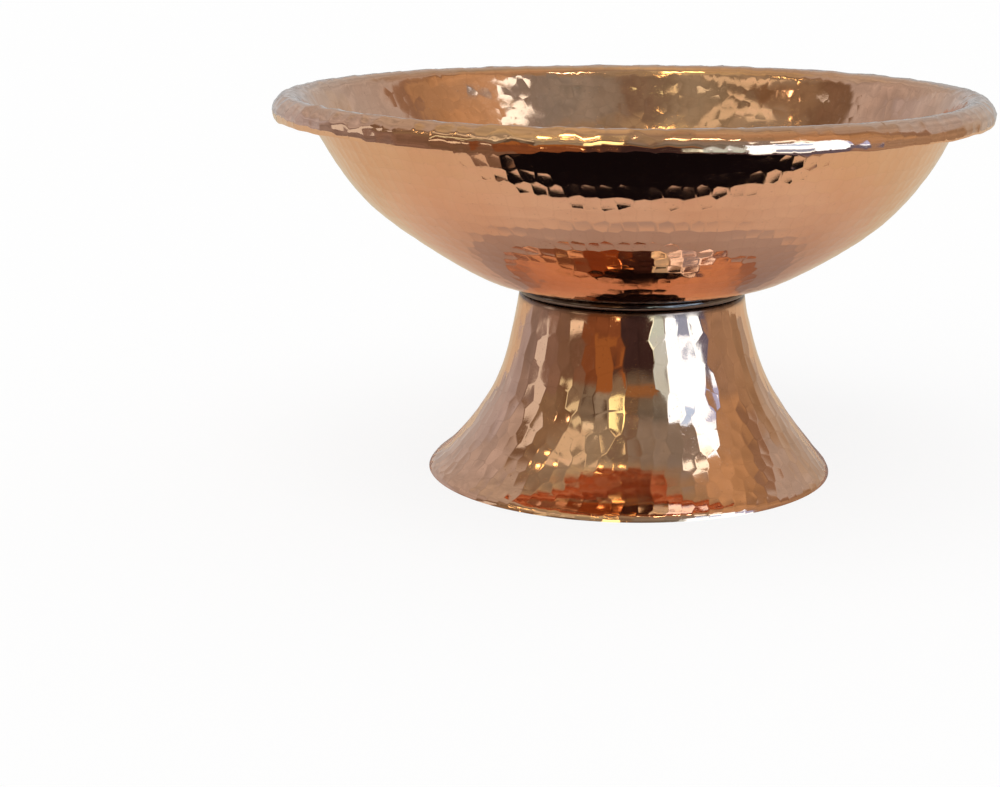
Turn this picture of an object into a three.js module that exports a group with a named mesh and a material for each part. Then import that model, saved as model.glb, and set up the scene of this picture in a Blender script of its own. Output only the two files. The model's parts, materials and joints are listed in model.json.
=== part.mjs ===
// Hammered copper pedestal bowl: a deep raised bowl with a turned-down lip,
// standing on a flared hollow foot. Millimetres, +Z up, origin on the table
// plane under the centre of the foot.
//
// The bowl and the foot are each one sheet of copper. A collar ring lies
// between them round the neck, and a ring of brazing metal inside the neck
// joins the bowl, the collar and the turned-in top of the foot.

import * as THREE from 'three';

// ---------------------------------------------------------------- dimensions
const SEGMENTS = 48;            // facets round every revolved piece

const SHEET = 1.0;              // copper sheet thickness
const GAP = 0.3;                // clearance between touching pieces

const RIM_RADIUS = 160;         // outermost circle of the lip
const RIM_TOP = 173.5;          // crest of the lip
const LIP_EDGE_Z = 163.4;       // cut lower edge of the lip

const FOOT_RADIUS = 93;         // outer edge of the foot on the table
const FOOT_LAND = 1.7;          // width of the flat ring the foot stands on
const NECK_RADIUS = 51.8;       // outside of the foot where it meets the collar
const NECK_TOP = 83.0;          // top of the turned-in flange of the foot
const FLANGE_INNER = 43.0;      // inner edge of that flange

const BOWL_FLOOR = 85.8;        // underside of the bowl on the axis

const COLLAR_RADIUS = 52.6;     // outside of the collar ring
const COLLAR_INNER = 45.4;      // inside of the collar ring

const FILLET_INNER = 40.6;      // inner edge of the brazed seam

// ----------------------------------------------------------------- materials
const copper = new THREE.MeshStandardMaterial({ color: 0xc98560, roughness: 0.16, metalness: 1.0 });
const footCopper = new THREE.MeshStandardMaterial({ color: 0xbf7d5a, roughness: 0.17, metalness: 1.0 });
const collarCopper = new THREE.MeshStandardMaterial({ color: 0x6f4638, roughness: 0.3, metalness: 1.0 });
const brazeAlloy = new THREE.MeshStandardMaterial({ color: 0xb89a5e, roughness: 0.45, metalness: 1.0 });

// ------------------------------------------------------------------- helpers
// Revolves a profile of [radius, z] pairs round +Z.
function revolve(name, profile, material) {
  const points = profile.map(([r, z]) => new THREE.Vector2(Math.max(r, 0), z));
  const geometry = new THREE.LatheGeometry(points, SEGMENTS);
  geometry.rotateX(Math.PI / 2);
  const mesh = new THREE.Mesh(geometry, material);
  mesh.name = name;
  return mesh;
}

// Unit normals of a polyline, pointing to the left of its direction.
function leftNormals(line) {
  return line.map((_, i) => {
    const a = line[Math.max(i - 1, 0)];
    const b = line[Math.min(i + 1, line.length - 1)];
    const dx = b[0] - a[0];
    const dz = b[1] - a[1];
    const length = Math.hypot(dx, dz);
    return [-dz / length, dx / length];
  });
}

function offset(line, distance) {
  const normals = leftNormals(line);
  return line.map(([r, z], i) => [r + normals[i][0] * distance, z + normals[i][1] * distance]);
}

// ---------------------------------------------------------------- bowl shell
// Outside of the bowl, from the axis up the wall. The belly is fullest low
// down and the wall leans out at about 27 degrees from vertical at the top.
const bowlOutside = [
  [0, BOWL_FLOOR],
  [38, BOWL_FLOOR + 0.2],
  [52, BOWL_FLOOR + 0.9],
  [60, BOWL_FLOOR + 2.35],
  [69, BOWL_FLOOR + 5.4],
  [78.6, 96.1],
  [92.7, 104.3],
  [104.7, 112.6],
  [116.4, 122.2],
  [127.8, 135.1],
  [136.4, 148.3],
  [142.4, 160.0],
];

// Inside of the bowl over the crest of the lip and down to its lower edge.
const lipTop = [
  [RIM_RADIUS - 14.2, RIM_TOP - 4.4],
  [RIM_RADIUS - 12.4, RIM_TOP - 2.0],
  [RIM_RADIUS - 9.9, RIM_TOP - 0.5],
  [RIM_RADIUS - 7.0, RIM_TOP],
  [RIM_RADIUS - 4.1, RIM_TOP - 0.8],
  [RIM_RADIUS - 1.6, RIM_TOP - 2.9],
  [RIM_RADIUS - 0.3, RIM_TOP - 5.6],
  [RIM_RADIUS, LIP_EDGE_Z + 2.2],
  [RIM_RADIUS - 0.6, LIP_EDGE_Z],
];

// Underside of the lip, one sheet thickness in, from its edge back to the wall.
const lipUnder = offset(lipTop, -SHEET).reverse();

const bowlInside = offset(bowlOutside, SHEET).reverse();
bowlInside[bowlInside.length - 1] = [0, BOWL_FLOOR + SHEET];

const bowlProfile = [
  ...bowlOutside,
  ...[...lipUnder].reverse(),
  ...[...lipTop].reverse(),
  ...bowlInside,
];

const bowlShell = revolve('bowl_shell', bowlProfile, copper);

// ------------------------------------------------------------ pedestal skirt
// Outside of the foot, from the table up to the neck, then in over the flange.
const footOutside = [
  [FOOT_RADIUS, 0],
  [FOOT_RADIUS - 0.5, 1.0],
  [FOOT_RADIUS - 3.5, 4.4],
  [83.2, 12],
  [76.9, 20],
  [70.9, 28.3],
  [65.0, 37.5],
  [60.0, 48],
  [56.6, 58.5],
  [54.0, 69],
  [NECK_RADIUS + 0.3, 78.5],
  [NECK_RADIUS, NECK_TOP - 1.6],
  [NECK_RADIUS - 0.5, NECK_TOP - 0.5],
  [NECK_RADIUS - 1.6, NECK_TOP],
  [FLANGE_INNER, NECK_TOP],
];
const footInside = [
  [FLANGE_INNER, NECK_TOP - SHEET],
  [NECK_RADIUS - 1.8, NECK_TOP - SHEET],
  [NECK_RADIUS - 1.0, NECK_TOP - SHEET - 0.8],
  [NECK_RADIUS - 0.75, 78.3],
  [53.0, 68.8],
  [55.6, 58.1],
  [59.05, 47.5],
  [64.2, 36.8],
  [70.1, 27.6],
  [76.1, 19.3],
  [82.4, 11.3],
  [FOOT_RADIUS - 4.2, 3.6],
  [FOOT_RADIUS - FOOT_LAND, 0],
];
const footProfile = [...footOutside, ...footInside, footOutside[0]];
const pedestalSkirt = revolve('pedestal_skirt', footProfile, footCopper);

// --------------------------------------------------------------- neck collar
// A flat ring with a slightly crowned outer edge. It lies on the flange of
// the foot, and its top follows the underside of the bowl.
const collarProfile = [
  [COLLAR_INNER, NECK_TOP + GAP],
  [COLLAR_RADIUS - 0.7, NECK_TOP + GAP],
  [COLLAR_RADIUS, NECK_TOP + GAP + 0.9],
  [COLLAR_RADIUS, BOWL_FLOOR - 0.3],
  [COLLAR_RADIUS - 0.6, BOWL_FLOOR + 0.45],
  [COLLAR_INNER, BOWL_FLOOR + 0.15],
  [COLLAR_INNER, NECK_TOP + GAP],
];
const neckCollar = revolve('neck_collar', collarProfile, collarCopper);

// -------------------------------------------------------------- brazed seam
// Brazing metal inside the neck, wetted on to the flange of the foot, the
// inside of the collar and the underside of the bowl, with a hollow face.
const filletProfile = [
  [FLANGE_INNER + 0.5, NECK_TOP + GAP],
  [COLLAR_INNER - GAP, NECK_TOP + GAP],
  [COLLAR_INNER - GAP, BOWL_FLOOR - GAP],
  [FILLET_INNER, BOWL_FLOOR - GAP],
  [FLANGE_INNER - 0.6, NECK_TOP + 1.6],
  [FLANGE_INNER + 0.5, NECK_TOP + GAP],
];
const brazeFillet = revolve('braze_fillet', filletProfile, brazeAlloy);

// ------------------------------------------------------------------ assembly
const pedestalBowl = new THREE.Group();
pedestalBowl.add(bowlShell, neckCollar, brazeFillet, pedestalSkirt);

export default pedestalBowl;
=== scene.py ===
import json
import math

import bpy
import numpy as np
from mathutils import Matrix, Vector
from mathutils.kdtree import KDTree

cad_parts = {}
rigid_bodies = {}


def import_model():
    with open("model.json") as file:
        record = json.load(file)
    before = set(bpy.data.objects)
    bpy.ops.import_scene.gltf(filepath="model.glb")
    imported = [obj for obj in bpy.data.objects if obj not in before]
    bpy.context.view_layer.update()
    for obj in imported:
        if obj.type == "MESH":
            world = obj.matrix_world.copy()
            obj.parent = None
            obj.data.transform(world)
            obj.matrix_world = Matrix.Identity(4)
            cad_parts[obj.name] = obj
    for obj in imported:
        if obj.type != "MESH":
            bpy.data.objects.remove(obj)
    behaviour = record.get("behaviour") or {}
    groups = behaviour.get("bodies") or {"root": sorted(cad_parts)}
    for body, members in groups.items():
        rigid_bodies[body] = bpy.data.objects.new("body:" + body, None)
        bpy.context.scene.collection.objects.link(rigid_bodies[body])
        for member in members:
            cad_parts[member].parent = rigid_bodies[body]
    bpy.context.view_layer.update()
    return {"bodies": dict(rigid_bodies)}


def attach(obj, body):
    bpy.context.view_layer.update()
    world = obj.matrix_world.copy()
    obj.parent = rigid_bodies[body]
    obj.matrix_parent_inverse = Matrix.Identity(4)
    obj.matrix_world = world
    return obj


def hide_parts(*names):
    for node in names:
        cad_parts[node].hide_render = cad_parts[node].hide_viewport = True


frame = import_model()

MM = 0.001
TAU = 2 * math.pi


# ------------------------------------------------------------------ profiles
# All profiles are lists of (radius, z) in millimetres. Walking along one, the
# metal is on the left and the air is on the right.
BOWL_OUT = [(6.0, 85.8), (20, 85.85), (38, 86.05), (52, 86.8), (60, 88.3), (69, 91.0), (78.6, 95.8),
            (92.7, 104.4), (104.7, 112.7), (116.4, 122.2), (127.8, 135.1), (136.4, 148.3),
            (142.4, 160.0), (145.3, 166.2)]
LIP_UNDER = [(146.6, 168.8), (148.2, 170.6), (150.4, 171.9), (153.0, 172.4), (155.4, 171.8),
             (157.5, 170.0), (158.6, 167.7), (158.95, 165.7), (158.45, 163.7)]
LIP_TOP = [(159.4, 163.4), (160.0, 165.6), (159.7, 167.9), (158.4, 170.6), (155.9, 172.7),
           (153.0, 173.5), (150.1, 173.0), (147.6, 171.5), (145.8, 169.1)]
BOWL_IN = [(141.5, 160.45), (135.5, 148.8), (127.0, 135.7), (115.7, 122.95), (104.1, 113.55),
           (92.2, 105.3), (78.1, 96.7), (68.6, 91.95), (59.75, 89.25), (51.85, 87.8), (38, 87.05),
           (20, 86.85), (6.0, 86.8)]
FOOT_OUT = [(93.0, 0.0), (92.5, 1.0), (89.25, 4.4), (82.2, 12), (75.65, 20), (70.0, 28.3), (64.4, 37.5),
            (59.8, 48), (56.6, 58.5), (54.0, 69), (52.2, 78.0), (51.9, 80.6)]
FOOT_FLANGE = [(51.6, 81.9), (50.9, 82.7), (49.8, 83.0), (46.0, 83.0), (43.0, 83.0), (43.0, 82.0), (46.0, 82.0),
               (49.7, 81.95), (50.5, 81.5), (50.85, 80.6)]
FOOT_IN = [(50.9, 79.5), (51.15, 77.0), (53.0, 68.8), (55.6, 58.1), (58.85, 47.5), (63.55, 36.8),
           (69.2, 27.6), (75.0, 19.3), (81.5, 11.3), (88.3, 3.6), (91.3, 0.0)]


def natural_spline(points, steps=1200):
    """A smooth curve through the points, sampled evenly along its length: s, r, z, and its unit tangent."""
    p = np.array(points, float)
    t = np.concatenate([[0], np.cumsum(np.hypot(*np.diff(p, axis=0).T))])
    n, h = len(t), np.diff(t)
    a = np.zeros((n, n))
    b = np.zeros((n, 2))
    a[0, 0] = a[-1, -1] = 1
    for i in range(1, n - 1):
        a[i, i - 1], a[i, i], a[i, i + 1] = h[i - 1], 2 * (h[i - 1] + h[i]), h[i]
        b[i] = 3 * ((p[i + 1] - p[i]) / h[i] - (p[i] - p[i - 1]) / h[i - 1])
    c = np.linalg.solve(a, b)
    out = []
    for i in range(n - 1):
        d = (c[i + 1] - c[i]) / (3 * h[i])
        e = (p[i + 1] - p[i]) / h[i] - h[i] * (2 * c[i] + c[i + 1]) / 3
        u = np.linspace(0, h[i], 60, endpoint=False)[:, None]
        out.append(p[i] + e * u + c[i] * u ** 2 + d * u ** 3)
    q = np.vstack(out + [p[-1:]])
    s = np.concatenate([[0], np.cumsum(np.hypot(*np.diff(q, axis=0).T))])
    ss = np.linspace(0, s[-1], steps)
    r, z = np.interp(ss, s, q[:, 0]), np.interp(ss, s, q[:, 1])
    tr, tz = np.gradient(r, ss), np.gradient(z, ss)
    ln = np.hypot(tr, tz)
    return ss, r, z, tr / ln, tz / ln


class Curve:
    def __init__(self, points):
        self.s, self.r, self.z, self.tr, self.tz = natural_spline(points)
        self.length = float(self.s[-1])

    def at(self, s):
        return tuple(np.interp(s, self.s, a) for a in (self.r, self.z, self.tr, self.tz))


# ------------------------------------------------- the unevenness of the hand
# How far the middle of each level has drifted sideways, measured up the object.
DRIFT_Z = np.array([0, 4, 10, 20, 32, 44, 60, 76, 86, 92, 104, 112, 118, 124, 134, 150, 163, 174.0])
DRIFT_X = np.array([-0.6, 0.5, 1.2, 1.5, 1.5, 1.1, 0.5, 0.1, 0.3, 0.7, 1.0, 1.0, 0.5, -0.1, -0.6, -0.9, -1.9, -2.4])
_zz = np.linspace(-2, 178, 721)
_dd = np.interp(_zz, DRIFT_Z, DRIFT_X)
_k = np.hanning(49)
_dd = np.convolve(np.pad(_dd, 24, mode="edge"), _k / _k.sum(), mode="valid")
_ds = np.gradient(_dd, _zz)


def uneven(p, n=None):
    """Moves points (mm) the way a hand-raised bowl strays from a true round, and turns their normals with them."""
    x, y, z = p[:, 0].copy(), p[:, 1].copy(), p[:, 2].copy()
    phi = np.arctan2(y, x)
    r = np.hypot(x, y)
    up = np.clip((z - 84) / 90, 0, 1)
    down = np.clip((84 - z) / 84, 0, 1)
    swell = 1 + up * (0.0022 * np.cos(2 * phi + 0.9) + 0.0012 * np.cos(3 * phi - 0.6) + 0.0007 * np.cos(5 * phi + 2.0)) \
        + down * (0.0022 * np.cos(2 * phi - 0.4) + 0.0014 * np.cos(3 * phi + 1.3))
    lift = up ** 2 * (0.35 * np.cos(phi + 2.2) + 0.3 * np.cos(2 * phi - 1.1) + 0.16 * np.cos(5 * phi + 0.3))
    edge = np.clip((r - 156.0) / 3.0, 0, 1) * np.clip((168.5 - z) / 4.0, 0, 1)
    lift = lift + edge * (0.14 * np.sin(23 * phi + 0.4) + 0.12 * np.sin(37 * phi + 1.9) + 0.10 * np.sin(61 * phi))
    q = np.empty_like(p)
    q[:, 0] = x * swell + np.interp(z, _zz, _dd)
    q[:, 1] = y * swell
    q[:, 2] = z + lift
    if n is None:
        return q
    slope = np.interp(z, _zz, _ds)
    m = n.copy()
    m[:, 2] = n[:, 2] - slope * n[:, 0]
    m /= np.linalg.norm(m, axis=1, keepdims=True)
    return q, m


# ------------------------------------------------------------- mesh collector
class Builder:
    """Collects vertices, faces and a normal for every face corner."""

    def __init__(self):
        self.co, self.ridge, self.faces, self.normals = [], [], [], []
        self.oxide_and_painted_reflection = lambda p: 0.0

    def vert(self, p, ridge=0.0):
        self.co.append(p)
        self.ridge.append(ridge)
        return len(self.co) - 1

    def face(self, ids, normals):
        self.faces.append(ids)
        self.normals.extend(normals)

    def make(self, name, material):
        co = np.array(self.co, float)
        loops = np.array([i for f in self.faces for i in f])
        nor = np.array(self.normals, float)
        _, nor = uneven(co[loops], nor)
        co = uneven(co) * MM
        mesh = bpy.data.meshes.new(name)
        mesh.from_pydata(co.tolist(), [], self.faces)
        mesh.polygons.foreach_set("use_smooth", [True] * len(mesh.polygons))
        a = mesh.attributes.new("ridge", "FLOAT", "POINT")
        a.data.foreach_set("value", np.array(self.ridge, np.float32))
        a = mesh.attributes.new("oxide_and_painted_reflection", "FLOAT", "POINT")
        a.data.foreach_set("value", np.array([self.oxide_and_painted_reflection(p) for p in self.co], np.float32))
        mesh.update()
        mesh.normals_split_custom_set(nor.tolist())
        mesh.materials.append(material)
        obj = bpy.data.objects.new(name, mesh)
        bpy.context.scene.collection.objects.link(obj)
        return obj


class Waves:
    """A smooth unevenness of the sheet: a sum of plane waves over angle and profile length, in mm."""

    def __init__(self, rng, radius, slope, short, long, count=22, upright=1.0):
        k = TAU / np.exp(rng.uniform(math.log(short), math.log(long), count))
        a = rng.uniform(0, TAU, count)
        self.m = np.round(k * np.cos(a) * radius)
        self.k = k * np.sin(a) / upright
        self.p = rng.uniform(0, TAU, count)
        self.a = slope * math.sqrt(2.0 / count) / k

    def at(self, phi, s, r):
        q = self.m * phi + self.k * s + self.p
        c, d = np.cos(q), -np.sin(q) * self.a
        return float((self.a * c).sum()), float((d * self.m).sum()) / r, float((d * self.k).sum())


def frame_at(phi, tr, tz):
    c, s = math.cos(phi), math.sin(phi)
    return (-s, c, 0.0), (tr * c, tr * s, tz), (tz * c, tz * s, -tr)


# ------------------------------------------------------------- hammered sheet
def clip(poly, nx, ny, d):
    """The part of a convex polygon where nx*x + ny*y <= d."""
    out = []
    n = len(poly)
    for i in range(n):
        ax, ay = poly[i]
        bx, by = poly[(i + 1) % n]
        da, db = nx * ax + ny * ay - d, nx * bx + ny * by - d
        if da <= 0:
            out.append((ax, ay))
        if (da < 0 < db) or (db < 0 < da):
            t = da / (da - db)
            out.append((ax + t * (bx - ax), ay + t * (by - ay)))
    return out


def hammered(b, curve, rows, rng, seg=3.4, rings=(0.87,), soften=1.0, fade=(0.0, 0.0), weld=0.22, waves=None, calm_waves=None, lean=None):
    """Covers a surface of revolution with hammer marks.

    rows: dicts with s (place along the profile), wide and tall (size of a mark in mm), jitter, bend (1/mm across
    and along), tilt, and phase (radians, or None for a random one). Each mark is its own shallow dish, and
    neighbouring marks meet in a ridge. Returns the first and last loops as lists of (phi, vertex).
    """
    # The chart: phi across, and along it a coordinate in which a mark is as tall as it is wide.
    rs = np.array([row["s"] for row in rows])
    aspect = np.interp(curve.s, rs, [row["wide"] / row["tall"] for row in rows])
    chart = np.concatenate([[0], np.cumsum(np.diff(curve.s) * (aspect / curve.r)[:-1])])
    top = float(chart[-1])
    cp, cc, cs, info = [], [], [], []
    last_phase, last_n = 0.0, 0
    for row in rows:
        r0 = float(np.interp(row["s"], curve.s, curve.r))
        n = row.get("count") or max(5, int(round(TAU * r0 / row["wide"])))
        phase = row["phase"] if row["phase"] is not None else rng.uniform(0, TAU)
        for k in range(n):
            phi = phase + TAU * (k + rng.uniform(-1, 1) * row["jitter"] * 0.5) / n
            s = row["s"] + rng.uniform(-1, 1) * row["jitter"] * 0.5 * row["tall"] * row.get("jitter_s", 1.0)
            s = min(max(s, 0.02), curve.length - 0.02)
            cp.append(phi % TAU)
            cs.append(s)
            cc.append(float(np.interp(s, curve.s, chart)))
            grow = row.get("grow", 0.35)
            side = row["side"](phi) if "side" in row else 1.0
            info.append((row["bend"][0] * rng.uniform(1 - grow, 1 + grow), row["bend"][1] * side * rng.uniform(1 - grow, 1 + grow),
                         rng.normal(0, row["tilt"]) * side, rng.normal(0, row["tilt"]) * side, row["wide"], row["tall"], row.get("rings", rings)))
    cp, cc, cs = np.array(cp), np.array(cc), np.array(cs)
    cells = []
    for i in range(len(cp)):
        size = info[i][4] / float(np.interp(cs[i], curve.s, curve.r))
        reach = 3.2 * size
        dp = (cp - cp[i] + math.pi) % TAU - math.pi
        dc = cc - cc[i]
        near = np.nonzero((np.abs(dp) < reach) & (np.abs(dc) < reach))[0]
        dist = dp[near] ** 2 + dc[near] ** 2
        poly = [(-reach, max(-reach, -cc[i])), (reach, max(-reach, -cc[i])),
                (reach, min(reach, top - cc[i])), (-reach, min(reach, top - cc[i]))]
        far = 9e9
        for k in near[np.argsort(dist)]:
            if k == i:
                continue
            x, y = float(dp[k]), float(dc[k])
            q = x * x + y * y
            if q > 4 * far:
                break
            if q < 1e-14:
                continue
            poly = clip(poly, x, y, q / 2)
            far = max(px * px + py * py for px, py in poly)
        cells.append([(cp[i] + px, cc[i] + py) for px, py in poly])
    # Weld the corners that neighbouring cells share.
    flat = [(i, p) for i, cell in enumerate(cells) for p in cell]
    cph = np.array([p[0] for _, p in flat])
    cch = np.array([p[1] for _, p in flat])
    s_of = np.interp(cch, chart, curve.s)
    r_of, z_of = np.interp(s_of, curve.s, curve.r), np.interp(s_of, curve.s, curve.z)
    tree = KDTree(len(flat))
    for k in range(len(flat)):
        tree.insert((r_of[k] * math.cos(cph[k]), r_of[k] * math.sin(cph[k]), z_of[k]), k)
    tree.balance()
    corner = [-1] * len(flat)
    spot = []  # (phi, s) of each welded corner
    for k in range(len(flat)):
        if corner[k] < 0:
            # A corner on an edge of the surface keeps its place there.
            edge = None
            group = [j for _, j, _ in tree.find_range((r_of[k] * math.cos(cph[k]), r_of[k] * math.sin(cph[k]), z_of[k]), weld) if corner[j] < 0]
            for j in group:
                if s_of[j] < 1e-4 or s_of[j] > curve.length - 1e-4:
                    edge = j
                    break
            j0 = k if edge is None else edge
            spot.append((float(cph[j0]), float(s_of[j0])))
            for j in group:
                corner[j] = len(spot) - 1
    rings_of, k = [], 0
    for cell in cells:
        ids = corner[k:k + len(cell)]
        k += len(cell)
        ids = [a for a, c in zip(ids, ids[1:] + ids[:1]) if a != c]
        rings_of.append(ids)

    heights, slopes = {}, {}

    def local(i, phi, s):
        r0 = float(np.interp(s, curve.s, curve.r))
        du = ((phi - cp[i] + math.pi) % TAU - math.pi) * r0
        dv = s - cs[i]
        ku, kv, tu, tv, wide, tall = info[i][:6]
        calm = 1.0
        if fade[0] > 0:
            calm *= min(max(s / fade[0], 0.0), 1.0)
        if fade[1] > 0:
            calm *= min(max((curve.length - s) / fade[1], 0.0), 1.0)
        h = 0.5 * ku * (du * du - wide * wide / 9) + 0.5 * kv * (dv * dv - tall * tall / 9) + tu * du + tv * dv
        gu, gv = ku * du + tu, kv * dv + tv
        if waves is not None:
            wh, wu, wv = waves.at(phi, s, r0)
            k = 1.0 if calm_waves is None else calm_waves(s)
            h, gu, gv = h + k * wh, gu + k * wu, gv + k * wv
        if lean is not None:
            gv += lean(s, phi)
        return calm * h, calm * gu, calm * gv

    # Boundary points: corners, and points along each shared edge.
    points, edge_points = {}, {}

    def get_corner(a):
        if ("c", a) not in points:
            points[("c", a)] = [spot[a][0], spot[a][1], []]
        return ("c", a)

    def along(a, c):
        key = (min(a, c), max(a, c))
        if key not in edge_points:
            (p1, s1), (p2, s2) = spot[key[0]], spot[key[1]]
            dp = (p2 - p1 + math.pi) % TAU - math.pi
            r0 = float(np.interp((s1 + s2) / 2, curve.s, curve.r))
            n = max(1, int(round(math.hypot(dp * r0, s2 - s1) / seg)))
            made = []
            for j in range(1, n):
                t = j / n
                name = ("e", key, j)
                points[name] = [p1 + dp * t, s1 + (s2 - s1) * t, []]
                made.append(name)
            edge_points[key] = made
        made = edge_points[key]
        return made if a == key[0] else made[::-1]

    outline = []
    for i, ids in enumerate(rings_of):
        line = []
        for a, c in zip(ids, ids[1:] + ids[:1]):
            line.append(get_corner(a))
            line.extend(along(a, c))
        for name in line:
            points[name][2].append(i)
        outline.append(line)
    index, mean = {}, {}
    for name, (phi, s, owners) in points.items():
        got = [local(i, phi, s) for i in owners]
        h = sum(g[0] for g in got) / len(got)
        gu, gv = sum(g[1] for g in got) / len(got), sum(g[2] for g in got) / len(got)
        r0, z0, tr, tz = (float(v) for v in curve.at(s))
        eu, ev, en = frame_at(phi, tr, tz)
        index[name] = b.vert((r0 * math.cos(phi) + en[0] * h, r0 * math.sin(phi) + en[1] * h, z0 + en[2] * h), 1.0)
        mean[name] = (gu, gv)

    def normal(phi, s, gu, gv):
        _, _, tr, tz = (float(v) for v in curve.at(s))
        eu, ev, en = frame_at(phi, tr, tz)
        v = [en[k] - gu * eu[k] - gv * ev[k] for k in range(3)]
        ln = math.sqrt(sum(a * a for a in v))
        return (v[0] / ln, v[1] / ln, v[2] / ln)

    for i, line in enumerate(outline):
        if len(line) < 3:
            continue
        ids = [index[name] for name in line]
        outer_n = []
        places = []
        for name in line:
            phi, s, _ = points[name]
            _, gu, gv = local(i, phi, s)
            mu, mv = mean[name]
            outer_n.append(normal(phi, s, gu + (mu - gu) * soften, gv + (mv - gv) * soften))
            places.append((cp[i] + ((phi - cp[i] + math.pi) % TAU - math.pi), s))
        prev_ids, prev_n = ids, outer_n
        for f in info[i][6]:
            now_ids, now_n = [], []
            for phi, s in places:
                phi2, s2 = cp[i] + (phi - cp[i]) * f, cs[i] + (s - cs[i]) * f
                h, gu, gv = local(i, phi2, s2)
                r0, z0, tr, tz = (float(v) for v in curve.at(s2))
                eu, ev, en = frame_at(phi2, tr, tz)
                now_ids.append(b.vert((r0 * math.cos(phi2) + en[0] * h, r0 * math.sin(phi2) + en[1] * h, z0 + en[2] * h), f ** 3))
                now_n.append(normal(phi2, s2, gu, gv))
            m = len(prev_ids)
            for k in range(m):
                j = (k + 1) % m
                b.face([prev_ids[k], prev_ids[j], now_ids[j], now_ids[k]], [prev_n[k], prev_n[j], now_n[j], now_n[k]])
            prev_ids, prev_n = now_ids, now_n
        h, gu, gv = local(i, cp[i], cs[i])
        r0, z0, tr, tz = (float(v) for v in curve.at(cs[i]))
        eu, ev, en = frame_at(cp[i], tr, tz)
        mid = b.vert((r0 * math.cos(cp[i]) + en[0] * h, r0 * math.sin(cp[i]) + en[1] * h, z0 + en[2] * h), 0.0)
        mid_n = normal(cp[i], cs[i], gu, gv)
        m = len(prev_ids)
        for k in range(m):
            j = (k + 1) % m
            b.face([prev_ids[k], prev_ids[j], mid], [prev_n[k], prev_n[j], mid_n])
    first = sorted((p[0] % TAU, index[n]) for n, p in points.items() if p[1] < 1e-3)
    final = sorted((p[0] % TAU, index[n]) for n, p in points.items() if p[1] > curve.length - 1e-3)
    return first, final


def corner_normal(phi, tr, tz):
    return (tz * math.cos(phi), tz * math.sin(phi), -tr)


def strip(b, loop, curve, count):
    """Carries a loop on along a smooth curve, in count steps. The curve starts where the loop is."""
    prev, prev_s = loop, 0.0
    for k in range(1, count + 1):
        s = curve.length * k / count
        r0, z0, tr, tz = (float(v) for v in curve.at(s))
        _, _, tr1, tz1 = (float(v) for v in curve.at(prev_s))
        now = [(phi, b.vert((r0 * math.cos(phi), r0 * math.sin(phi), z0), 0.5)) for phi, _ in prev]
        m = len(prev)
        for i in range(m):
            j = (i + 1) % m
            pa, pb = prev[i][0], prev[j][0]
            b.face([prev[i][1], prev[j][1], now[j][1], now[i][1]],
                   [corner_normal(pa, tr1, tz1), corner_normal(pb, tr1, tz1), corner_normal(pb, tr, tz), corner_normal(pa, tr, tz)])
        prev, prev_s = now, s
    return prev


def zipper(b, low, high, tangent):
    """Joins two loops whose points stand at different angles."""
    tr, tz = tangent
    ln = math.hypot(tr, tz)
    tr, tz = tr / ln, tz / ln
    a = [p for p, _ in low]
    start = min(range(len(high)), key=lambda j: abs((high[j][0] - a[0] + math.pi) % TAU - math.pi))
    high = high[start:] + high[:start]
    base = a[0]

    def unroll(loop):
        out = []
        for k, (p, v) in enumerate(loop):
            d = (p - base) % TAU
            if k == 0 and d > math.pi:
                d -= TAU
            out.append((d, v))
        return out + [(out[0][0] + TAU, out[0][1])]

    lo, hi = unroll(low), unroll(high)
    i = j = 0
    while i < len(lo) - 1 or j < len(hi) - 1:
        if j == len(hi) - 1 or (i < len(lo) - 1 and lo[i + 1][0] <= hi[j + 1][0]):
            ids, ps = [lo[i][1], lo[i + 1][1], hi[j][1]], [lo[i][0], lo[i + 1][0], hi[j][0]]
            i += 1
        else:
            ids, ps = [lo[i][1], hi[j + 1][1], hi[j][1]], [lo[i][0], hi[j + 1][0], hi[j][0]]
            j += 1
        b.face(ids, [corner_normal(base + p, tr, tz) for p in ps])


def cap(b, loop, z, up):
    mid = b.vert((0.0, 0.0, z), 0.0)
    n = (0.0, 0.0, 1.0 if up else -1.0)
    m = len(loop)
    for i in range(m):
        j = (i + 1) % m
        ids = [loop[i][1], loop[j][1], mid] if up else [loop[j][1], loop[i][1], mid]
        b.face(ids, [n, n, n])


def rows_between(curve, s0, s1, tall, wide, **more):
    """Even rows of marks from s0 to s1."""
    n = max(1, int(round((s1 - s0) / tall)))
    step = (s1 - s0) / n
    base = {"jitter": 0.34, "bend": (0.016, 0.016), "tilt": 0.012, "phase": None}
    base.update(more)
    return [dict(base, s=s0 + (k + 0.5) * step, tall=step, wide=wide) for k in range(n)]


# ------------------------------------------------------------------ materials
def new_material(name):
    m = bpy.data.materials.new(name)
    m.use_nodes = True
    nt = m.node_tree
    nt.nodes.clear()
    out = nt.nodes.new("ShaderNodeOutputMaterial")
    bsdf = nt.nodes.new("ShaderNodeBsdfPrincipled")
    nt.links.new(bsdf.outputs[0], out.inputs[0])
    return m, nt, bsdf


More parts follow.
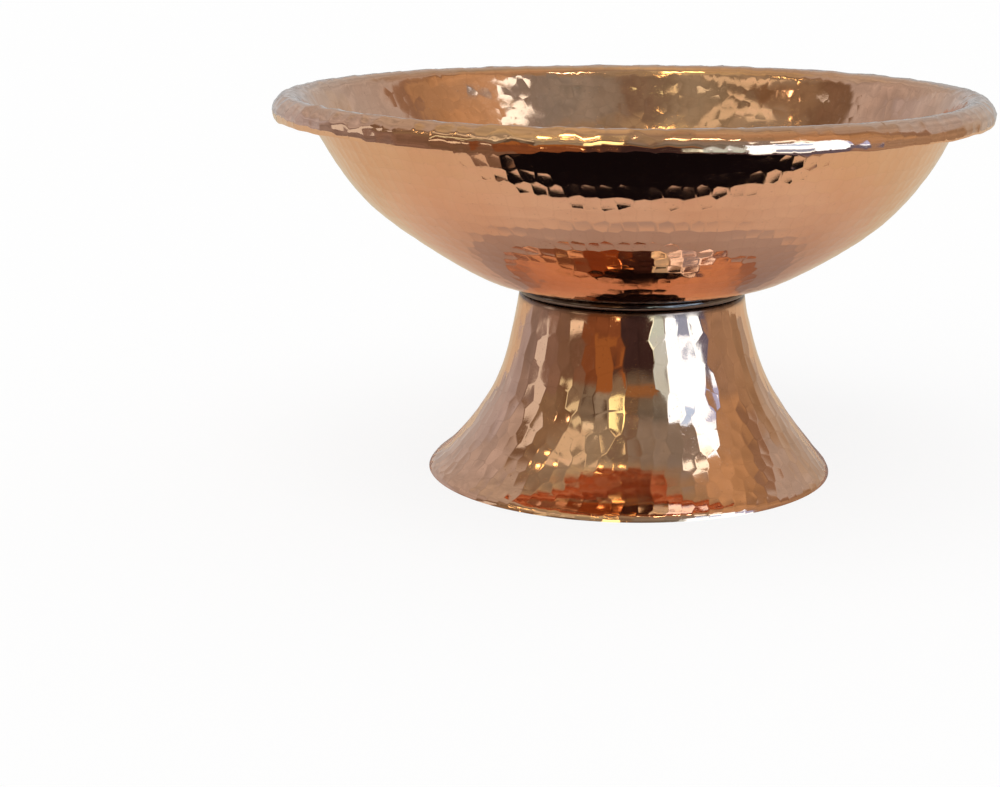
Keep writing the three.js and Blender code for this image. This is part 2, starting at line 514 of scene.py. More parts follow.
def copper(name, base, warm, dull, rough=(0.05, 0.15), scale=1.0, tarnish=0.25, scratch=0.012):
    """Polished copper: the colour drifts between three tones, thin tarnish lies in patches, the ridges of the
    hammer marks are polished bright, and fine wiping scratches and pits break the gloss."""
    m, nt, bsdf = new_material(name)
    N, L = nt.nodes.new, nt.links.new
    bsdf.inputs["Metallic"].default_value = 1.0
    coord = N("ShaderNodeTexCoord")

    def noise(scale_, detail=3.0, rough_=0.5, vector=None):
        t = N("ShaderNodeTexNoise")
        t.inputs["Scale"].default_value = scale_
        t.inputs["Detail"].default_value = detail
        t.inputs["Roughness"].default_value = rough_
        L(vector or coord.outputs["Object"], t.inputs["Vector"])
        return t.outputs["Fac"]

    def ramp(value, stops):
        r = N("ShaderNodeValToRGB")
        els = r.color_ramp.elements
        while len(els) < len(stops):
            els.new(0.5)
        for e, (p, c) in zip(els, stops):
            e.position = p
            e.color = (*c, 1) if isinstance(c, tuple) else (c, c, c, 1)
        L(value, r.inputs[0])
        return r.outputs[0]

    def mix(fac, a, b_, mode="MIX"):
        x = N("ShaderNodeMix")
        x.data_type = "RGBA"
        x.blend_type = mode
        for sock, v in ((x.inputs[0], fac), (x.inputs[6], a), (x.inputs[7], b_)):
            if isinstance(v, (int, float)):
                sock.default_value = v
            elif isinstance(v, tuple):
                sock.default_value = (*v, 1)
            else:
                L(v, sock)
        return x.outputs[2]

    def math_(op, a, b_=None, clamp=False):
        x = N("ShaderNodeMath")
        x.operation = op
        x.use_clamp = clamp
        for sock, v in zip(x.inputs, (a, b_)):
            if v is None:
                continue
            if isinstance(v, (int, float)):
                sock.default_value = v
            else:
                L(v, sock)
        return x.outputs[0]

    ridge = N("ShaderNodeAttribute")
    ridge.attribute_name = "ridge"
    oxide_and_painted_reflection = N("ShaderNodeAttribute")
    oxide_and_painted_reflection.attribute_name = "oxide_and_painted_reflection"
    wide = noise(16.0 * scale, 4.0, 0.62)
    patch = noise(38.0 * scale, 4.0, 0.6)
    fine = noise(260.0 * scale, 3.0, 0.6)
    colour = mix(ramp(wide, [(0.38, 0.0), (0.64, 1.0)]), base, warm)
    stain = ramp(patch, [(0.52, 0.0), (0.78, 1.0)])
    colour = mix(math_("MULTIPLY", stain, tarnish), colour, dull)
    speck = ramp(noise(900.0 * scale, 1.0), [(0.70, 0.0), (0.76, 1.0)])
    colour = mix(math_("MULTIPLY", speck, 0.22), colour, tuple(c * 0.5 for c in dull))
    line = ramp(ridge.outputs["Fac"], [(0.72, 0.0), (1.0, 1.0)])
    colour = mix(math_("MULTIPLY", line, 0.16), colour, tuple(c * 0.72 for c in warm))
    # Near-black brown by the vertex value: braze oxide at the joints, and on the bowl's underside beyond the joint a
    # painted dark reflection.
    oxide_and_reflection_amount = math_("MULTIPLY", oxide_and_painted_reflection.outputs["Fac"], math_("ADD", math_("MULTIPLY", fine, 0.5), 0.62), clamp=True)
    colour = mix(oxide_and_reflection_amount, colour, (0.055, 0.036, 0.032))
    L(colour, bsdf.inputs["Base Color"])
    lo, hi = rough
    r1 = math_("MULTIPLY", ramp(patch, [(0.35, 0.0), (0.75, 1.0)]), (hi - lo) * 0.6)
    r2 = math_("MULTIPLY", ramp(fine, [(0.45, 0.0), (0.75, 1.0)]), (hi - lo) * 0.4)
    r3 = math_("MULTIPLY", ridge.outputs["Fac"], -0.35 * lo)
    r4 = math_("MULTIPLY", oxide_and_reflection_amount, 0.22)
    rough_ = math_("ADD", math_("ADD", math_("ADD", math_("ADD", r1, r2), lo), r3), r4, clamp=True)
    L(rough_, bsdf.inputs["Roughness"])
    # Wiping scratches: noise drawn out round the object, in its own angle and height.
    sep = N("ShaderNodeSeparateXYZ")
    L(coord.outputs["Object"], sep.inputs[0])
    angle = math_("ARCTAN2", sep.outputs[1], sep.outputs[0])
    comb = N("ShaderNodeCombineXYZ")
    L(math_("MULTIPLY", angle, 0.02), comb.inputs[0])
    L(sep.outputs[2], comb.inputs[1])
    L(math_("MULTIPLY", math_("COSINE", angle), 0.004), comb.inputs[2])
    lines = noise(2400.0, 2.0, 0.7, comb.outputs[0])
    height = math_("ADD", math_("MULTIPLY", lines, 0.35), math_("MULTIPLY", fine, 0.9))
    height = math_("ADD", height, math_("MULTIPLY", speck, -0.6))
    bump = N("ShaderNodeBump")
    bump.inputs["Strength"].default_value = 1.0
    bump.inputs["Distance"].default_value = scratch * MM
    L(height, bump.inputs["Height"])
    L(bump.outputs[0], bsdf.inputs["Normal"])
    return m


BASE = (0.92, 0.555, 0.375)
WARM = (0.88, 0.49, 0.31)
DULL = (0.66, 0.36, 0.25)
bowl_metal = copper("bowl_copper", BASE, WARM, DULL)
foot_metal = copper("foot_copper", (0.89, 0.52, 0.35), (0.88, 0.49, 0.30), DULL, rough=(0.045, 0.13))
collar_metal = copper("collar_copper", (0.21, 0.16, 0.135), (0.13, 0.09, 0.075), (0.06, 0.045, 0.042), rough=(0.10, 0.30), tarnish=0.7)
braze_metal = copper("braze_alloy", (0.70, 0.55, 0.30), (0.58, 0.43, 0.22), (0.26, 0.18, 0.12), rough=(0.30, 0.55), scale=2.5, tarnish=0.6, scratch=0.05)


# ----------------------------------------------------------------- bowl shell
def worn(phi):
    """The lip's marks are worn nearly smooth from the front round to the right: 1 is a full mark."""
    d = (math.degrees(phi) + 180) % 360 - 180
    return 1 - 0.75 * min(max((d + 86) / 12, 0.0), 1.0) * min(max((40 - d) / 40, 0.0), 1.0)


def build_bowl():
    rng = np.random.RandomState(11)
    b = Builder()
    out = Curve(BOWL_OUT)

    def stain(p):
        """Dark braze oxide at the joint, and farther out on the bowl's underside, fading to nothing at 67 mm, a painted
        dark reflection.
        """
        r = math.hypot(p[0], p[1])
        if r > 67 or p[2] > 91.5 or p[2] > float(np.interp(r, out.r, out.z)) + 0.4:
            return 0.0
        return min(max((67.0 - r) / 10.0, 0.0), 1.0)

    # Darkening round the joint: braze oxide, then a painted dark reflection out to 67 mm.
    b.oxide_and_painted_reflection = stain
    s_floor = float(np.interp(50.0, out.r, out.s))
    s_low = float(np.interp(106.0, out.r, out.s))
    rows = rows_between(out, 0, s_floor, 8.0, 8.0, bend=(0.004, 0.004), tilt=0.002)
    rows += rows_between(out, s_floor, out.length, 6.2, 6.4, jitter=0.36, bend=(0.0205, 0.0225), tilt=0.007, grow=0.25)
    for row in rows:
        low_down = min(max((s_low - row["s"]) / 14.0, 0.0), 1.0)
        row["bend"] = (row["bend"][0] * (1 - 0.30 * low_down), row["bend"][1] * (1 - 0.42 * low_down))
        row["tilt"] *= 1 - 0.5 * low_down
    s_lean, s_neck = float(np.interp(122.0, out.r, out.s)), float(np.interp(70.0, out.r, out.s))
    first, edge = hammered(b, out, rows, rng, rings=(0.74,), fade=(0.0, 3.0), waves=Waves(rng, 120, 0.004, 14, 50),
                           lean=lambda v, phi: -0.05 * min(max((s_lean - v) / 16, 0), 1) * min(max((v - s_neck) / 20, 0), 1))
    cap(b, first, 85.8, False)
    under = Curve([BOWL_OUT[-1]] + LIP_UNDER)
    edge = strip(b, edge, under, 14)
    inner = Curve(LIP_TOP + BOWL_IN)
    s_crease = float(inner.s[np.argmin(np.hypot(inner.r - 145.8, inner.z - 169.1))])
    lip = rows_between(inner, 0, 5.2, 5.2, 9.0, jitter=0.75, jitter_s=0.5, bend=(0.016, 0.050), tilt=0.014, rings=(0.62,), grow=0.6, side=worn)
    lip += rows_between(inner, 5.2, 12.0, 6.8, 8.4, jitter=0.75, jitter_s=0.55, bend=(0.017, 0.060), tilt=0.016, rings=(0.66,), grow=0.6, side=worn)
    lip += rows_between(inner, 12.0, s_crease, s_crease - 12.0, 8.6, jitter=0.6, jitter_s=0.5, bend=(0.0075, 0.02), tilt=0.010, rings=(0.7,))
    s_in = float(inner.s[np.argmin(np.abs(inner.r - 50) + (inner.z > 100) * 999)])
    rows = lip + rows_between(inner, s_crease, s_in, 5.6, 5.8, jitter=0.8, bend=(0.004, 0.003), tilt=0.012, grow=1.6)
    rows += rows_between(inner, s_in, inner.length, 7.0, 7.2, jitter=0.6, bend=(-0.004, -0.004), tilt=0.012, grow=0.9)
    low, last = hammered(b, inner, rows, rng, rings=(0.84,), fade=(0.6, 0.0), waves=Waves(rng, 130, 0.009, 5, 26, 26),
                         lean=lambda v, phi: -0.26 * (1 - worn(phi)) * min(max((13 - v) / 8, 0), 1))
    zipper(b, edge, low, (0.95, -0.25))
    cap(b, last, 86.8, True)
    return b.make("bowl_shell_hammered", bowl_metal)


def build_foot():
    rng = np.random.RandomState(23)
    b = Builder()
    b.oxide_and_painted_reflection = lambda p: min(max((p[2] - 79.5) / 2.5, 0.0), 1.0)
    out = Curve(FOOT_OUT)
    rows = []
    talls = [5.5, 6.5, 7.0, 7.5, 8.0, 9.0, 10.0, 11.0, 12.0, 12.5, 13.0]
    talls = [t * out.length / sum(talls) for t in talls]
    s = 0.0
    for k, tall in enumerate(talls):
        s += tall / 2
        r0 = float(np.interp(s, out.s, out.r))
        want = TAU * r0 / 6.2
        for c in (54, 60, 66, 72, 78, 84, 90):
            if want < c + 3:
                break
        up = min(max((s - 30.0) / 30.0, 0.0), 1.0)
        rows.append({"s": s, "wide": TAU * r0 / c, "tall": tall, "count": c, "jitter": 0.34, "jitter_s": 1.8,
                     "bend": (0.0185, 0.0025 * (1 - up)), "tilt": 0.006 - 0.002 * up, "phase": -math.pi / 2 + 0.012 * math.sin(1.7 * k), "grow": 0.35})
        s += tall / 2
    low, high = hammered(b, out, rows, rng, seg=3.0, rings=(0.84,), fade=(1.2, 2.5), waves=Waves(rng, 68, 0.013, 7, 22, 26, 1.7),
                         calm_waves=lambda v: 0.65 + 0.35 * min(max((v - 30) / 25, 0), 1),
                         lean=lambda v, phi: -0.030 * min(max((26 - v) / 14, 0), 1))
    flange = Curve([FOOT_OUT[-1]] + FOOT_FLANGE)
    high = strip(b, high, flange, 22)
    inside = Curve([FOOT_FLANGE[-1]] + FOOT_IN)
    rows = rows_between(inside, 0, inside.length, 8.0, 8.0, jitter=0.5, bend=(-0.004, -0.004), tilt=0.012, grow=0.8)
    first, last = hammered(b, inside, rows, rng, rings=(0.8,), fade=(2.0, 1.2), waves=Waves(rng, 68, 0.012, 8, 26))
    weld_loops(b, high, first)
    zipper(b, last, low, (1.0, 0.0))
    return b.make("pedestal_skirt_hammered", foot_metal)


def weld_loops(b, a, c):
    """Two loops on the same circle, with different angles: a zipper of no width."""
    zipper(b, a, c, (0.02, -1.0))


# The collar and the brazed seam are turned and flowed rings.
def build_ring(name, material, profile, segments, bump, body=0.0):
    rng = np.random.RandomState(sum(map(ord, name)))
    b = Builder()
    k = len(profile)
    waves = [(int(rng.randint(3, 60)), rng.uniform(0, TAU), rng.uniform(0.3, 1)) for _ in range(16)]
    loops = []
    for i in range(segments):
        phi = TAU * i / segments
        loop = []
        for j, (r, z, w) in enumerate(profile):
            d = sum(a * math.sin(f * phi + p + 0.7 * j) for f, p, a in waves) / 5 * bump * w
            loop.append(b.vert((math.cos(phi) * (r + d), math.sin(phi) * (r + d), z + d * 0.35 * w), 0.3))
        loops.append(loop)
    co = np.array(b.co).reshape(segments, k, 3)
    du = np.roll(co, -1, 0) - np.roll(co, 1, 0)
    dv = np.roll(co, -1, 1) - np.roll(co, 1, 1)
    nn = np.cross(du, dv)
    nn /= np.linalg.norm(nn, axis=2, keepdims=True)
    for i in range(segments):
        i2 = (i + 1) % segments
        for j in range(k):
            j2 = (j + 1) % k
            b.face([loops[i][j], loops[i2][j], loops[i2][j2], loops[i][j2]],
                   [tuple(nn[i, j]), tuple(nn[i2, j]), tuple(nn[i2, j2]), tuple(nn[i, j2])])
    return b.make(name, material)


def round_profile(points, radius_steps):
    """Points with weights, going round with the metal on the left."""
    return points


def build_collar():
    # From the inner bottom corner out along the bottom, up the crowned edge, and back over the top.
    lo, hi = 83.3, 86.3
    mid, half = (lo + hi) / 2, (hi - lo) / 2
    pts = [(45.4, lo, 0), (46.5, lo, 0), (48.5, lo, 0), (50.5, lo, 0), (51.5, lo, 0.2)]
    for k in range(1, 12):
        a = -math.pi / 2 + math.pi * k / 12
        pts.append((51.75 + 0.95 * math.cos(a), mid + half * math.sin(a), 1.0))
    pts += [(51.3, hi - 0.02, 0.2), (50.0, hi - 0.1, 0), (48.0, hi - 0.2, 0), (46.5, hi - 0.3, 0), (45.4, hi - 0.35, 0)]
    pts += [(45.4, 85.0, 0), (45.4, 84.2, 0)]
    return build_ring("neck_collar_ring", collar_metal, pts, 420, 0.06)


def build_braze():
    pts = [(43.6, 83.3, 0), (44.4, 83.3, 0), (45.1, 83.35, 0), (45.1, 84.4, 0), (45.1, 85.45, 0), (43.6, 85.5, 0.1), (42.0, 85.5, 0.4),
           (40.75, 85.45, 1.0), (41.1, 85.1, 1.0), (41.7, 84.8, 1.0), (42.1, 84.4, 0.9), (42.45, 83.9, 0.8), (42.9, 83.45, 0.5)]
    return build_ring("braze_seam", braze_metal, pts, 300, 0.22)


bowl = build_bowl()
foot = build_foot()
collar = build_collar()
braze = build_braze()

for piece, node, slot in ((bowl, "bowl_shell", "bowl_copper"), (foot, "pedestal_skirt", "foot_copper"),
                          (collar, "neck_collar", "collar_copper"), (braze, "braze_fillet", "braze_alloy")):
    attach(piece, "root" if "root" in frame["bodies"] else list(frame["bodies"])[0])
    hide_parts(node)


# --------------------------------------------------------------------- camera
scene = bpy.context.scene
cam_data = bpy.data.cameras.new("camera")
cam = bpy.data.objects.new("camera", cam_data)
scene.collection.objects.link(cam)
cam_data.sensor_width = 36
cam_data.lens = 70.56
cam_data.clip_start, cam_data.clip_end = 0.05, 200
cam.location = (-0.002, -0.88885, 0.25502)
cam.rotation_euler = (math.radians(90) - 0.2448, 0, 0.0657)
scene.camera = cam


# ---------------------------------------------------------------------- stage
def plain(name, colour, rough=0.9, emit=0.0):
    m, nt, bsdf = new_material(name)
    bsdf.inputs["Base Color"].default_value = (*colour, 1)
    bsdf.inputs["Roughness"].default_value = rough
    bsdf.inputs["Specular IOR Level"].default_value = 0.0
    if emit:
        bsdf.inputs["Emission Color"].default_value = (*colour, 1)
        bsdf.inputs["Emission Strength"].default_value = emit
    return m


def sheet_of(name, corners, material):
    mesh = bpy.data.meshes.new(name)
    mesh.from_pydata(corners, [], [list(range(len(corners)))])
    mesh.materials.append(material)
    o = bpy.data.objects.new(name, mesh)
    scene.collection.objects.link(o)
    return o


def see(o, camera, diffuse, glossy, shadow):
    o.visible_camera, o.visible_diffuse, o.visible_glossy, o.visible_shadow = camera, diffuse, glossy, shadow
    o.visible_transmission = camera


# The floor that is looked at, and just under it the table top that the metal mirrors, with its dark front edge.
floor = sheet_of("floor", [(-30, -30, 0), (30, -30, 0), (30, 30, 0), (-30, 30, 0)], plain("floor_white", (0.16, 0.16, 0.16)))
fb = floor.data.materials[0].node_tree.nodes["Principled BSDF"]
fb.inputs["Emission Color"].default_value = (1.0, 1.0, 1.0, 1)
fb.inputs["Emission Strength"].default_value = 0.84
see(floor, True, False, False, False)


def table_material():
    """Cream table top, greyer and pinker in the shade under the bowl."""
    m, nt, bsdf = new_material("table_cream")
    N, L = nt.nodes.new, nt.links.new
    bsdf.inputs["Roughness"].default_value = 0.9
    bsdf.inputs["Specular IOR Level"].default_value = 0.0
    coord = N("ShaderNodeTexCoord")
    off = N("ShaderNodeVectorMath")
    off.operation = "SUBTRACT"
    L(coord.outputs["Object"], off.inputs[0])
    off.inputs[1].default_value = (0.004, -0.004, 0)
    ln = N("ShaderNodeVectorMath")
    ln.operation = "LENGTH"
    L(off.outputs[0], ln.inputs[0])
    r = N("ShaderNodeValToRGB")
    els = r.color_ramp.elements
    stops = [(0.0, (0.61, 0.565, 0.55)), (0.126, (0.61, 0.565, 0.55)), (0.136, (0.80, 0.695, 0.60)), (0.19, (0.78, 0.68, 0.575)),
             (0.30, (0.715, 0.645, 0.49)), (1.0, (0.70, 0.645, 0.51))]
    while len(els) < len(stops):
        els.new(0.5)
    for e, (p, c) in zip(els, stops):
        e.position, e.color = p, (*c, 1)
    L(ln.outputs["Value"], r.inputs[0])
    L(r.outputs[0], bsdf.inputs["Base Color"])
    return m


# A round table, 1 m in radius, that the bowl stands near the front of.
table = sheet_of("table_top", [(0.004 + math.cos(TAU * k / 240), 0.8205 + math.sin(TAU * k / 240), -0.0003) for k in range(240)],
                 table_material())
see(table, False, True, True, False)
front = sheet_of("table_front", [(-0.175, -0.66, -0.0005), (0.27, -0.66, -0.0005), (0.225, -0.05, -0.0005), (-0.150, -0.05, -0.0005)],
                 plain("front_black", (0.006, 0.005, 0.007)))
see(front, False, False, True, False)
under_floor = sheet_of("room_floor", [(-6, -6, -0.45), (6, -6, -0.45), (6, 6, -0.45), (-6, 6, -0.45)], plain("room_floor", (0.10, 0.055, 0.03)))
see(under_floor, False, False, False, False)

# A plain white surround that only the camera sees.
bpy.ops.mesh.primitive_uv_sphere_add(segments=64, ring_count=32, radius=28, location=(0, 0, 0))
surround = bpy.context.object
surround.name = "surround"
m = bpy.data.materials.new("surround_white")
m.use_nodes = True
m.node_tree.nodes.clear()
o_ = m.node_tree.nodes.new("ShaderNodeOutputMaterial")
e_ = m.node_tree.nodes.new("ShaderNodeEmission")
e_.inputs[0].default_value = (1.0, 1.0, 1.0, 1)
e_.inputs[1].default_value = 1.0
m.node_tree.links.new(e_.outputs[0], o_.inputs[0])
surround.data.materials.append(m)
see(surround, True, False, False, False)


def sun(name, strength, colour, angle, rot):
    d = bpy.data.lights.new(name, "SUN")
    d.energy, d.color, d.angle = strength, colour, math.radians(angle)
    o = bpy.data.objects.new(name, d)
    o.rotation_euler = [math.radians(a) for a in rot]
    scene.collection.objects.link(o)
    o.visible_glossy = False
    return o


sun("key_soft", 1.55, (1.0, 0.97, 0.93), 80, (28, -22, 0))
sun("fill_soft", 1.15, (0.93, 0.96, 1.0), 120, (-18, 30, 0))
sun("top_soft", 0.85, (1.0, 1.0, 1.0), 160, (0, 0, 0))


# The room that the metal mirrors, by direction: azimuth 0 is in front of the object and 90 is to its right.
# Walls and furniture, as seen low down, at head height, higher up, and on the ceiling.
LOW = [(-180, (.50, .55, .58)), (-150, (.50, .53, .55)), (-118, (.46, .49, .57)), (-111, (.30, .28, .28)), (-94, (.25, .22, .22)), (-81, (.26, .20, .17)), (-62, (.18, .13, .09)), (-45, (.20, .13, .09)),
       (-42, (.22, .095, .042)), (-12, (.22, .095, .042)), (-9, (.10, .06, .045)), (-3, (.045, .03, .033)), (15, (.05, .032, .034)),
       (18, (.12, .10, .09)), (74, (.14, .16, .28)), (79, (.38, .31, .24)), (124, (.37, .30, .21)), (134, (.46, .46, .42)), (180, (.50, .56, .60))]
MID = [(-180, (.48, .485, .46)), (-116, (.47, .475, .495)), (-102, (.44, .44, .45)), (-98, (.20, .15, .105)), (-92, (.21, .155, .11)),
       (-83, (.26, .215, .15)), (-66, (.24, .20, .14)), (-60, (.18, .125, .075)), (-56, (.22, .19, .14)),
       (-38, (.22, .22, .18)), (-37, (.12, .10, .075)), (-29, (.12, .10, .075)), (-27, (.30, .32, .28)), (-18, (.31, .315, .25)),
       (-2, (.20, .15, .10)), (4, (.17, .17, .14)), (28, (.20, .24, .24)), (74, (.30, .32, .34)), (79, (.46, .355, .24)),
       (103, (.46, .35, .225)), (105, (.29, .22, .165)), (111.5, (.29, .225, .175)), (114.5, (.47, .50, .53)), (180, (.48, .52, .53))]
UPPER = [(-180, (.49, .47, .40)), (-101, (.46, .46, .44)), (-96, (.25, .195, .14)), (-89, (.30, .27, .21)), (-66, (.30, .30, .245)),
         (-58, (.34, .33, .26)), (-46, (.28, .27, .20)), (-30, (.32, .33, .27)), (-18, (.25, .24, .19)), (0, (.21, .18, .145)),
         (6, (.26, .27, .25)), (20, (.29, .31, .30)), (44, (.25, .28, .29)), (58, (.28, .29, .30)), (66, (.53, .41, .28)),
         (99, (.53, .39, .235)), (103, (.34, .25, .155)), (112, (.34, .26, .18)), (116, (.42, .39, .35)), (150, (.42, .41, .37)), (180, (.45, .48, .44))]
HIGH = [(-180, (.58, .52, .35)), (-110, (.46, .43, .31)), (-70, (.52, .47, .30)), (-30, (.62, .62, .42)), (-8, (.36, .33, .23)),
        (15, (.31, .30, .24)), (60, (.36, .31, .22)), (100, (.47, .36, .24)), (150, (.45, .40, .29)), (180, (.50, .46, .33))]
PEAK = 1.0
LAMPS = [(-76, 49, 1.0, (9, 7, 3)), (-81, 48, 1.0, (9, 7, 3)), (-87, 46, 1.1, (8, 6, 2.6)), (-80, 41, 0.9, (8, 6, 2.6)),
         (-12, 57, 0.9, (9, 6.4, 2.4)), (-17, 58, 0.9, (9, 6.4, 2.4)), (-22, 59, 0.9, (9, 6.4, 2.4)), (-28, 60, 0.9, (9, 6.4, 2.4)),
         (-35, 73, 3.5, (9, 7.5, 3.4)), (-52, 72, 3.0, (8, 6.6, 3)), (26, 66, 1.3, (14, 11, 7)), (34, 67, 1.3, (14, 11, 7)),
         (41, 66, 1.5, (14, 12, 9)), (49, 65, 1.4, (14, 12, 10)), (-20, 65, 1.2, (12, 8, 3)), (-25, 66, 1.2, (12, 8, 3)),
         (-14, -1, 2.4, (6, 4.4, 2.2)), (-68, 33, 1.6, (8, 6.4, 4))]
# Windows, lamps and lit edges near enough that each part of the object sees them a little differently:
# four corners (azimuth, elevation), distance in metres from the foot, and brightness.
PANELS = [
    ("window_main", [(31, 13), (75, 13), (76, 41), (38, 41)], 2.0, (1.5, 2.3, 3.3)),
    ("window_top", [(61, 40.5), (69, 40), (67, 44.8), (60.5, 45)], 7.0, (1.6, 2.1, 2.4)),
    ("window_top_2", [(51, 47), (69, 46.5), (67, 51.5), (52.5, 52)], 7.0, (1.5, 1.9, 2.1)),
    ("curtain", [(-98, 3), (-85, 3), (-88, 34), (-95, 34)], 1.6, (.74, .80, .80)),
    ("window_inner", [(22, 13), (31, 13), (38, 40), (30, 30)], 2.0, (.62, .95, 1.15)),
    ("window_haze", [(45, 36), (56, 28), (60, 34), (50, 41)], 1.98, (.62, 1.15, 2.1)),
    ("window_shade", [(70, 18), (76, 18), (77, 33), (72, 36)], 1.97, (.50, .75, 1.5)),
    ("strip_low", [(36, -12), (58, -12), (58, -4), (36, -4)], 2.0, (1.4, 2.1, 2.7)),
    ("strip_1", [(18.5, -4), (22, -4), (24, 16), (19, 16)], 2.0, (1.3, 1.9, 1.9)),
    ("strip_2", [(22, -4), (30, -4), (31, 14), (24, 14)], 2.0, (.62, 1.0, 1.15)),
    ("strip_3", [(30, -4), (36, -4), (36, 14), (31, 14)], 2.0, (.38, .52, .60)),
    ("strip_4", [(36, -4), (43, -4), (43, 14), (36, 14)], 2.0, (1.5, 2.4, 3.4)),
    ("strip_5", [(43, -4), (57, -4), (58, 14), (43, 14)], 2.0, (.34, .56, 1.0)),
    ("strip_6", [(57, -4), (69, -4), (70, 14), (58, 14)], 2.0, (1.5, 2.4, 3.4)),
    ("strip_7", [(69, -4), (77, -4), (77, 14), (70, 14)], 2.0, (.16, .20, .36)),
    ("lamp_tall", [(-15, 27), (-4, 27), (-5, 46), (-19, 46)], 2.2, (1.5, 1.7, 1.0)),
    ("lamp_core", [(-12, 33), (-6, 33), (-6, 42), (-13, 42)], 2.18, (4.2, 3.4, 1.4)),
    ("lamp_side", [(-26, 49), (-19, 46), (-18, 49), (-25, 51)], 1.6, (.9, .9, .6)),
    ("ceiling_edge", [(-45.5, 42), (-51, 41.5), (-46.5, 55), (-38, 56)], 8.0, (.72, .70, .53)),
    ("ceiling_edge_2", [(-47.2, 43.5), (-56.2, 40.5), (-76, 45), (-64, 49)], 8.02, (.72, .70, .53)),
    ("shelf_edge", [(-73, 46.5), (-54, 48), (-54, 51), (-76, 50)], 2.0, (.80, .76, .60)),
    ("door_gap", [(-62, 16), (-58, 15), (-50, 38), (-54, 41)], 2.0, (.80, .86, .62)),
    ("door_gap_top", [(-44, 40), (-33, 44), (-33, 47), (-46, 44)], 2.0, (.90, .95, .75)),
    ("skirting", [(-62, 4), (-45, 5), (-45, 10), (-62, 9)], 2.0, (.95, .92, .75)),
    ("amber", [(-36, 12), (-14, 12), (-14, 23), (-36, 22)], 2.3, (.33, .15, .05)),
    ("cupboard", [(-8, 22), (26, 22), (24, 27), (-6, 27)], 2.3, (.30, .18, .085)),
]


def build_panels():
    for name, corners, dist, colour in PANELS:
        n = 8
        co, faces = [], []
        for i in range(n + 1):
            for j in range(n + 1):
                u, v = i / n, j / n
                az = (1 - v) * ((1 - u) * corners[0][0] + u * corners[1][0]) + v * ((1 - u) * corners[3][0] + u * corners[2][0])
                el = (1 - v) * ((1 - u) * corners[0][1] + u * corners[1][1]) + v * ((1 - u) * corners[3][1] + u * corners[2][1])
                a, e = math.radians(az), math.radians(el)
                co.append((dist * math.sin(a) * math.cos(e), -0.06 - dist * math.cos(a) * math.cos(e), 0.03 + dist * math.sin(e)))
        for i in range(n):
            for j in range(n):
                faces.append([i * (n + 1) + j, (i + 1) * (n + 1) + j, (i + 1) * (n + 1) + j + 1, i * (n + 1) + j + 1])
        mesh = bpy.data.meshes.new(name)
        mesh.from_pydata(co, [], faces)
        m = bpy.data.materials.new(name)
        m.use_nodes = True
        m.node_tree.nodes.clear()
        out = m.node_tree.nodes.new("ShaderNodeOutputMaterial")
        em = m.node_tree.nodes.new("ShaderNodeEmission")
        em.inputs[0].default_value = (*[c / 5 for c in colour], 1)
        em.inputs[1].default_value = 5.0
        m.node_tree.links.new(em.outputs[0], out.inputs[0])
        m.cycles.emission_sampling = "NONE"
        mesh.materials.append(m)
        o = bpy.data.objects.new(name, mesh)
        scene.collection.objects.link(o)
        see(o, False, False, True, False)


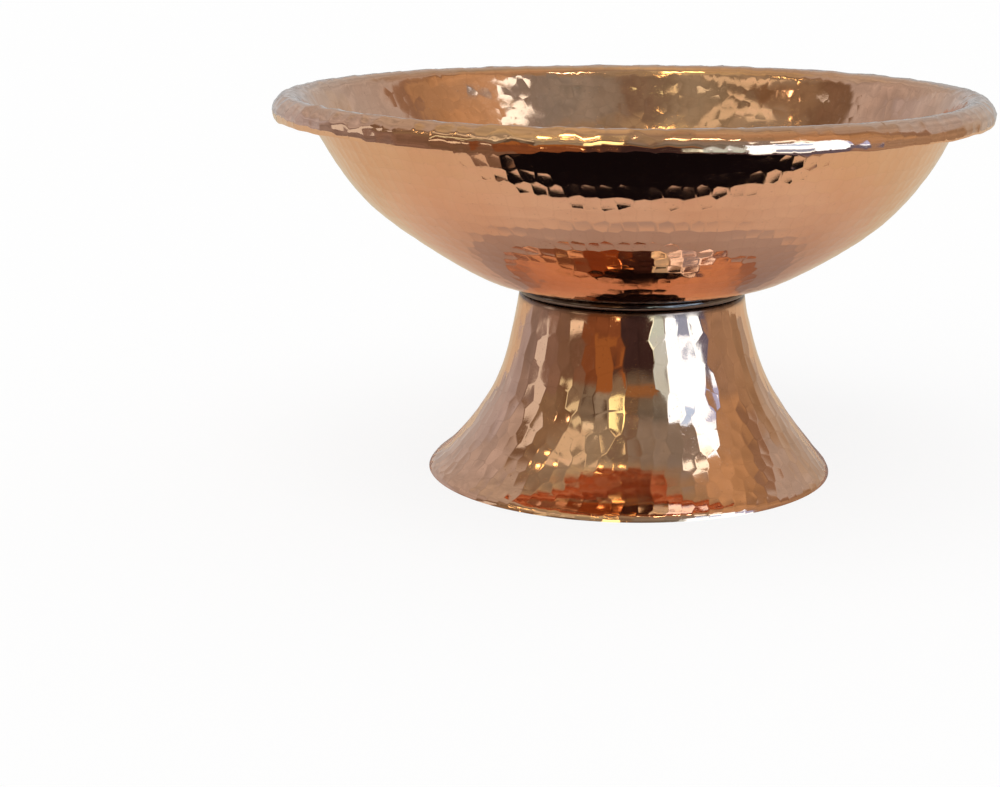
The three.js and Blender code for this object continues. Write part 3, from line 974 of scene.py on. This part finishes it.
def build_world():
    w = bpy.data.worlds.new("room")
    scene.world = w
    w.use_nodes = True
    nt = w.node_tree
    nt.nodes.clear()
    N, L = nt.nodes.new, nt.links.new

    def math_(op, a, b_=None, c_=None, clamp=False):
        x = N("ShaderNodeMath")
        x.operation, x.use_clamp = op, clamp
        for sock, v in zip(x.inputs, (a, b_, c_)):
            if v is None:
                continue
            if isinstance(v, (int, float)):
                sock.default_value = v
            else:
                L(v, sock)
        return x.outputs[0]

    coord = N("ShaderNodeTexCoord")
    norm = N("ShaderNodeVectorMath")
    norm.operation = "NORMALIZE"
    L(coord.outputs["Generated"], norm.inputs[0])
    sep = N("ShaderNodeSeparateXYZ")
    L(norm.outputs[0], sep.inputs[0])
    wob = N("ShaderNodeTexNoise")
    wob.inputs["Scale"].default_value = 5.0
    wob.inputs["Detail"].default_value = 3.0
    L(norm.outputs[0], wob.inputs["Vector"])
    wobble = math_("MULTIPLY", math_("SUBTRACT", wob.outputs["Fac"], 0.5), 0.10)
    az = math_("ARCTAN2", sep.outputs[0], math_("MULTIPLY", sep.outputs[1], -1.0))
    el = math_("ARCSINE", sep.outputs[2])
    az = math_("ADD", az, wobble)
    el = math_("ADD", el, wobble)
    fac = math_("ADD", math_("DIVIDE", az, TAU), 0.5)

    def ramp(stops):
        r = N("ShaderNodeValToRGB")
        els = r.color_ramp.elements
        while len(els) < len(stops):
            els.new(0.5)
        for e, (a, c) in zip(els, stops):
            e.position = min(max(a / 360 + 0.5, 0), 1)
            e.color = (*[min(v / PEAK, 1) for v in c], 1)
        L(fac, r.inputs[0])
        return r.outputs[0]

    def step(lo, hi):
        x = N("ShaderNodeMapRange")
        x.interpolation_type = "SMOOTHSTEP"
        x.inputs[1].default_value, x.inputs[2].default_value = math.radians(lo), math.radians(hi)
        L(el, x.inputs[0])
        return x.outputs[0]

    def mix(f, a, b_, mode="MIX"):
        x = N("ShaderNodeMix")
        x.data_type, x.blend_type = "RGBA", mode
        if isinstance(f, (int, float)):
            x.inputs[0].default_value = f
        else:
            L(f, x.inputs[0])
        for sock, v in ((x.inputs[6], a), (x.inputs[7], b_)):
            if isinstance(v, tuple):
                sock.default_value = (*v, 1)
            else:
                L(v, sock)
        return x.outputs[2]

    c = mix(step(17, 21), ramp(LOW), ramp(MID))
    c = mix(step(37, 43), c, ramp(UPPER))
    c = mix(step(53, 60), c, ramp(HIGH))
    c = mix(step(76, 88), c, (0.34 / PEAK, 0.32 / PEAK, 0.26 / PEAK))
    vary = N("ShaderNodeTexNoise")
    vary.inputs["Scale"].default_value = 7.0
    vary.inputs["Detail"].default_value = 4.0
    vary.inputs["Roughness"].default_value = 0.6
    L(norm.outputs[0], vary.inputs["Vector"])
    v = math_("MULTIPLY_ADD", vary.outputs["Fac"], 1.1, 0.45)
    vv = N("ShaderNodeVectorMath")
    vv.operation = "SCALE"
    L(c, vv.inputs[0])
    L(v, vv.inputs["Scale"])
    c = vv.outputs[0]
    scale = N("ShaderNodeVectorMath")
    scale.operation = "SCALE"
    L(c, scale.inputs[0])
    scale.inputs["Scale"].default_value = PEAK
    total = scale.outputs[0]
    for a, e, rad, col in LAMPS:
        a, e = math.radians(a), math.radians(e)
        d = (math.sin(a) * math.cos(e), -math.cos(a) * math.cos(e), math.sin(e))
        dot = N("ShaderNodeVectorMath")
        dot.operation = "DOT_PRODUCT"
        L(norm.outputs[0], dot.inputs[0])
        dot.inputs[1].default_value = d
        x = N("ShaderNodeMapRange")
        x.interpolation_type = "SMOOTHSTEP"
        x.inputs[1].default_value = math.cos(math.radians(rad))
        x.inputs[2].default_value = math.cos(math.radians(rad * 0.5))
        L(dot.outputs["Value"], x.inputs[0])
        s = N("ShaderNodeVectorMath")
        s.operation = "SCALE"
        s.inputs[0].default_value = col
        L(x.outputs[0], s.inputs["Scale"])
        add = N("ShaderNodeVectorMath")
        add.operation = "ADD"
        L(total, add.inputs[0])
        L(s.outputs[0], add.inputs[1])
        total = add.outputs[0]
    bg = N("ShaderNodeBackground")
    L(total, bg.inputs[0])
    out = N("ShaderNodeOutputWorld")
    L(bg.outputs[0], out.inputs[0])
    w.cycles_visibility.camera = False
    w.cycles_visibility.diffuse = False
    w.cycles_visibility.glossy = True


build_panels()
build_world()
scene.view_settings.view_transform = "Standard"
scene.view_settings.look = "None"

# -------------------------------------------------------------------- closing
bpy.context.view_layer.update()
